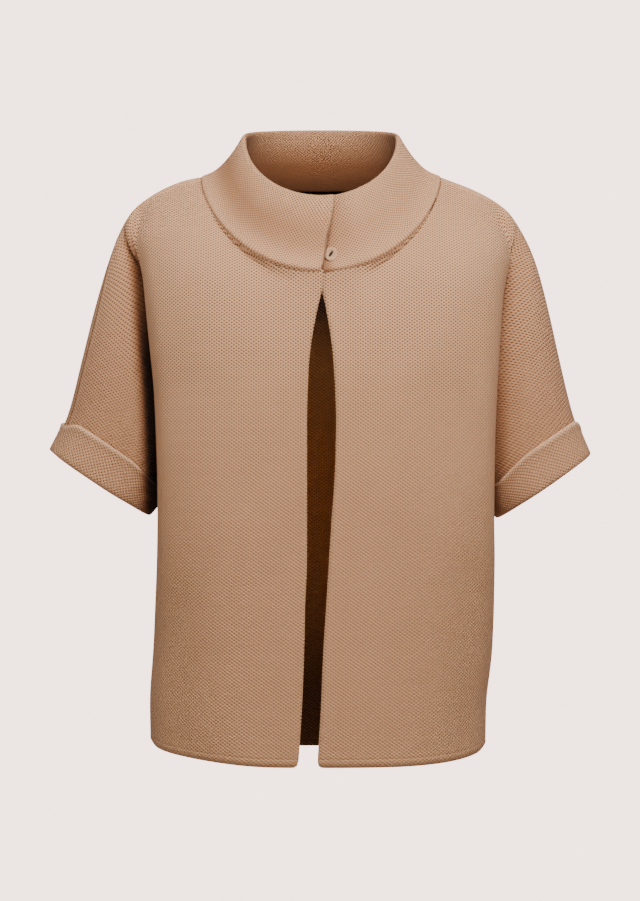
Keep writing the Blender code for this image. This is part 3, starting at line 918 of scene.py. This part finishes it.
# Turned-up cuffs
# Each sleeve end is folded back on itself as a band about 37 mm deep, in the same knit drawn a little
# tighter, with a thick rolled edge at its top that catches the light and carries a painted highlight; the
# cuff also carries painted shade, deepest beside the body's outer fold.
# Profile of the turned-up cuff: up the sleeve from its end, out from its surface.
CUFF_PROFILE = [
    (-0.8, 1.1), (10, 1.1), (20, 1.2), (30, 1.5), (37.0, 1.8), (38.8, 3.6), (37.8, 5.6), (35.0, 6.2),
    (32.0, 4.6), (24, 3.8), (12, 4.0), (0, 4.0), (-2.6, 2.8), (-3.4, -0.8), (-2.6, -4.6), (0.4, -6.0),
    (11, -6.0), (11.6, -4.8), (11, -3.7), (-0.8, -3.7),
]
# How much of the rolled edge each point of the profile is, by its place in the list; the painted
# highlight follows it.
CUFF_ROLL = {5: 0.6, 6: 1.0, 7: 1.0}
cuff_middle = 10
cuff_inner_reach = 46.0
# The least painted shade on a cuff, and the share of it left where the rolled edge takes the painted
# highlight.
CUFF_SHADE = 0.3
CUFF_SHADE_ROLL = 0.3
cuff_knit = knit_material("cuff_knit", CAMEL, CAMEL_SHADE, 0.9, gauge=0.86, crease=True, ridge=True)


def loft(name, loops, closed):
    """A band through loops of points: a closed ring, or a strip whose two ends are filled."""
    count = len(loops[0])
    faces = []
    for i in range(len(loops) if closed else len(loops) - 1):
        j = (i + 1) % len(loops)
        for k in range(count):
            m = (k + 1) % count
            faces.append((i * count + k, i * count + m, j * count + m, j * count + k))
    if not closed:
        for i in (0, len(loops) - 1):
            faces.append(tuple(i * count + k for k in range(count)))
    made = new_object(name, [p for loop in loops for p in loop], faces)
    work = bmesh.new()
    work.from_mesh(made.data)
    bmesh.ops.recalc_face_normals(work, faces=work.faces)
    work.to_mesh(made.data)
    work.free()
    return made


def lengths(chain):
    """The running length at each point of a chain."""
    total = [0.0]
    for before, here in zip(chain, chain[1:]):
        total.append(total[-1] + float(np.linalg.norm(here - before)))
    return total


def lay_flat(made, turn, run):
    """The flat map of a band, along its turn and round its run, which end at their full lengths."""
    count = len(run) - 1
    made.data.uv_layers.new(name="knit")
    layer = made.data.uv_layers["knit"]
    for polygon in made.data.polygons:
        ids = [made.data.loops[l].vertex_index for l in polygon.loop_indices]
        ring = [v // count for v in ids]
        part = [v % count for v in ids]
        for l, i, k in zip(polygon.loop_indices, ring, part):
            if max(ring) - min(ring) > 1 and i == 0:
                i = len(turn) - 1
            if len(ids) == 4 and max(part) - min(part) > 1 and k == 0:
                k = count
            layer.uv[l].vector = (turn[i] * MM, run[k] * MM)


def round_point(side, face, share, t):
    """A point of the sleeve, where t may run past either seam on to the other half."""
    if t < 0 or t > 1:
        return ring_point(side, -face, share, -t if t < 0 else 2 - t)
    return ring_point(side, face, share, t)


def cuff_loop(side, face, t):
    """The profile set on the sleeve's end at one place round it."""
    run = np.linalg.norm(ring_point(side, face, 0.85, t) - ring_point(side, face, 1.0, t))
    run += max(0.0, cuff_inner_reach - run) * smooth((t - 0.5) / 0.25)
    # At the over-arm line the band is shallower and lies closer.
    low = 1 - smooth((t - (0.15 if face == BACK and side == RIGHT else 0.0)) / 0.18)
    step = 0.02
    loop = []
    for up, out in CUFF_PROFILE:
        share = 1.0 - 0.15 * up * (1 - 0.24 * low) / run
        p = ring_point(side, face, share, t)
        along = ring_point(side, face, share + step, t) - ring_point(side, face, share - step, t)
        ahead = round_point(side, face, share, t + step) - round_point(side, face, share, t - step)
        n = np.cross(along, ahead)
        n /= max(np.linalg.norm(n), 1e-9)
        middle = (ring_point(side, FRONT, share, 0.5) + ring_point(side, BACK, share, 0.5)) / 2
        if np.dot(n, p - middle) < 0:
            n = -n
        loop.append(p + n * out * (1 - 0.45 * low * smooth((out - 2) / 2)))
    return loop


for name, node_name, side, under in (
    ("cuff_right_knit", "cuff_right", RIGHT, "front_right_knit"),
    ("cuff_left_knit", "cuff_left", LEFT, "front_left_knit"),
):
    around = [(FRONT, k / 2 / upper_rows) for k in range(2 * upper_rows)]
    around += [(BACK, k / 2 / upper_rows) for k in range(2 * upper_rows, 0, -1)]
    loops = [cuff_loop(side, face, t) for face, t in around]
    count = len(CUFF_PROFILE)
    made = loft(name, loops, True)
    turn = lengths([loop[cuff_middle] for loop in loops] + [loops[0][cuff_middle]])
    lay_flat(made, turn, lengths(loops[0] + [loops[0][0]]))
    ridge = []
    shades = []
    for v, p in enumerate(p for loop in loops for p in loop):
        # Painted shade, deep beside the body's outer fold, and a painted highlight on the rolled edge where
        # the shade is light.
        deepest = 1.0 if side == RIGHT else 0.75
        shade = max(CUFF_SHADE, deepest * (1 - smooth((abs(p[0]) - 174) / 19)))
        ridge.append(CUFF_ROLL.get(v % count, 0.0) * (1 - shade))
        lit = v % count in CUFF_ROLL and shade <= CUFF_SHADE
        shades.append(shade * CUFF_SHADE_ROLL if lit else shade)
    measure(made, "ridge", ridge)
    measure(made, "crease_shade", shades)
    made.data.materials.append(cuff_knit)
    refine(made)
    place_piece(made, node_name)

# Collar
# A stand-away funnel collar: one double band of the same knit, linked to the neck all round, whose
# wearer's right end lies over the left one.
# Profile of the collar: share of its height, out from its outer surface.
COLLAR_PROFILE = [
    (-0.035, -0.9), (-0.03, 0.5), (0.0, 1.3), (0.06, 1.2), (0.14, 0.4), (0.24, 0.0), (0.34, 0.0), (0.52, 0.0),
    (0.7, 0.0), (0.86, 0.2), (0.955, 0.7), (0.995, -0.4), (1.008, -2.4), (0.995, -4.2), (0.955, -5.2),
    (0.86, -5.0), (0.64, -5.0), (0.42, -5.0), (0.2, -5.0), (0.0, -4.6), (-0.05, -3.6),
]
# The two ends of the collar, in degrees from the middle of the front: share of height, top end, under end.
COLLAR_ENDS = [(0, -1.2, 367.5), (0.35, -2.0, 368.5), (0.6, -4.5, 370), (0.8, -9.0, 371.5), (1.0, -11.6, 373)]
collar_front_gap = 1.2
collar_back_gap = 0.2
rim_half_width = 80.0
rim_front_depth = 62.0
rim_back_depth = 66.0
rim_side_height = 46.0
rim_front_drop = 66.0
rim_back_rise = 12.0
collar_waist = 5.5
collar_turn = 362
collar_steps = 132
# Where lengths are taken: a loop by its place round, and two points of the profile, below and at its crest.
collar_side_loop = 40
collar_middle = 6
collar_crest = 12


def rim_point(angle):
    """The top edge of the collar at the same angle."""
    a = math.radians(angle)
    forward = math.cos(a)
    x = -rim_half_width * math.sin(a)
    if forward > 0:
        y = -rim_front_depth * forward
        z = rim_side_height - rim_front_drop * forward
    else:
        y = -rim_back_depth * forward
        z = rim_side_height + rim_back_rise * (-forward) ** 0.6
    return np.array([x, y + under_push(angle), z])


def collar_surface(u, h):
    """A point of the outer surface: u from the top end round to the covered end, h up from the foot."""
    start = curve(COLLAR_ENDS, h, 1)
    angle = start + (curve(COLLAR_ENDS, h, 2) - start) * u
    bottom = neck_point(angle)
    rise = rim_point(angle) - bottom
    ahead = smooth((math.cos(math.radians(angle)) + 0.3) / 0.6)
    lift = (collar_back_gap + (collar_front_gap - collar_back_gap) * ahead) / np.linalg.norm(rise)
    p = bottom + rise * (lift + (1 - lift) * h)
    inward = np.array([-p[0], -p[1], 0])
    inward = inward / max(np.linalg.norm(inward), 1e-9)
    down = np.array([0, 0, -1.0])
    waist = collar_waist * math.sin(math.pi * min(1.0, max(0.0, h)) ** 0.75) ** 1.1
    return p + (inward * 0.8 + down * 0.6) * waist


def collar_normal(u, h):
    around = collar_surface(min(1.0, u + 0.004), h) - collar_surface(max(0.0, u - 0.004), h)
    up = collar_surface(u, min(1.0, h + 0.03)) - collar_surface(u, max(0.0, h - 0.03))
    n = np.cross(up, around)
    n /= max(np.linalg.norm(n), 1e-9)
    return n if np.dot(n[:2], collar_surface(u, h)[:2]) > 0 else -n


def collar_shade(k, place):
    """The shade on a point of the profile: inside, beside the top end, and in the waist of the band."""
    turned = math.radians(collar_turn * place)
    if k >= collar_crest:
        sunk = (run[k] - run[collar_crest]) / (run[count - 1] - run[collar_crest])
        return min(1.0, 0.3 + 0.3 * abs(math.sin(turned)) ** 3 + 0.7 * smooth(1.7 * sunk))
    shade = 0.0
    h = min(1.0, max(0.0, COLLAR_PROFILE[k][0]))
    top_end = curve(COLLAR_ENDS, h, 1)
    if place > 0.85:
        here = top_end + (curve(COLLAR_ENDS, h, 2) - top_end) * place - 360
        low = 0.5 + 0.3 * (1 - smooth(h / 0.25))
        shade = low * (1 - smooth((top_end - here) * 1.8 / 13)) * (1 - 0.7 * smooth(h / 0.9))
    aside = math.sin(math.radians(top_end) + turned)
    return shade + (0.45 + 0.28 * aside) * math.sin(math.pi * h**0.9) ** 2


collar_knit = knit_material("collar_knit", CAMEL, CAMEL_SHADE, 1.6, gauge=0.84, foot=True)
loops = []
for k in range(collar_steps + 1):
    u = k / collar_steps
    loops.append([
        collar_surface(u, h) + collar_normal(u, min(max(h, 0.0), 1.0)) * out for h, out in COLLAR_PROFILE
    ])
count = len(COLLAR_PROFILE)
collar = loft("collar_knit", loops, False)
run = lengths(loops[collar_side_loop] + [loops[collar_side_loop][0]])
turn = lengths([loop[collar_middle] for loop in loops])
lay_flat(collar, turn, run)
shades = []
asides = []
foot = []
for v in range(len(collar.data.vertices)):
    place = (v // count) / collar_steps
    shades.append(collar_shade(v % count, place))
    asides.append(0.25 + 0.75 * smooth((abs(math.sin(math.radians(collar_turn * place))) - 0.25) / 0.45))
    foot.append(run[v % count] if v % count < collar_crest else FAR)
measure(collar, "collar_painted_shade", shades)
measure(collar, "aside", asides)
measure(collar, "foot_mm", foot)
collar.data.materials.append(collar_knit)
refine(collar)
place_piece(collar, "collar")

# Press stud
# A small pale moulded ring, sewn to the covered end of the collar, where the top end snaps on to it. A
# dark slanting bar across its hollow is painted shadow.
stud_material, tree, shader = new_material("stud_ecru", {"Specular IOR Level": 0.2})
place = node(tree, "ShaderNodeTexCoord", (-900, 0)).outputs["Object"]
cloud = noise(tree, place, 260.0, (-700, 0)).outputs["Fac"]
tone = ramp(tree, cloud, (0.46, 0.25, 0.135), (0.60, 0.36, 0.21), (-450, 0))
tree.links.new(tone, shader.inputs["Base Color"])
gloss = ranged(tree, cloud, (-450, -250), least=0.55, most=0.75, soft=False)
tree.links.new(gloss, shader.inputs["Roughness"])
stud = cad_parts["button"]
for slot in stud.material_slots:
    slot.material = stud_material

# The hollow of the ring is filled by a thin pale plate, and the slanting slot on it is a near-black sheet
# of painted shadow, standing in for the deep shade in the hollow.
# Name, half width, half height, lean in degrees, how far it is raised.
PLATES = [("stud_plate", 3.6, 5.0, 0.0, -0.2), ("stud_slot_painted_shadow", 1.5, 4.3, 24.0, 0.15)]
plate_sides = 24
ring = np.array([list(stud.matrix_world @ v.co) for v in stud.data.vertices]) / MM
middle = (ring.max(axis=0) + ring.min(axis=0)) / 2
spread = np.linalg.svd(ring - ring.mean(axis=0))[2]
upward = spread[0] * (1 if spread[0][2] > 0 else -1)
outward = spread[2] * (1 if spread[2][1] < 0 else -1)
across = np.cross(upward, outward)
slot_shadow_material, tree, shader = new_material("stud_slot_painted_shadow", {"Roughness": 0.8})
shadow_noise = noise(tree, None, 400.0, (-500, 0)).outputs["Fac"]
tone = ramp(tree, shadow_noise, (0.006, 0.003, 0.002), (0.018, 0.009, 0.005), (-300, 0))
tree.links.new(tone, shader.inputs["Base Color"])
for (name, wide, high, lean, raised), made_of in zip(PLATES, (stud_material, slot_shadow_material)):
    lean = math.radians(lean)
    long_way = upward * math.cos(lean) + across * math.sin(lean)
    short_way = across * math.cos(lean) - upward * math.sin(lean)
    rim = []
    for k in range(plate_sides):
        a = 2 * math.pi * k / plate_sides
        rim.append(middle + outward * raised + short_way * wide * math.cos(a) + long_way * high * math.sin(a))
    plate = new_object(name, rim, [tuple(range(plate_sides))])
    plate.data.materials.append(made_of)
    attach(plate, "root")
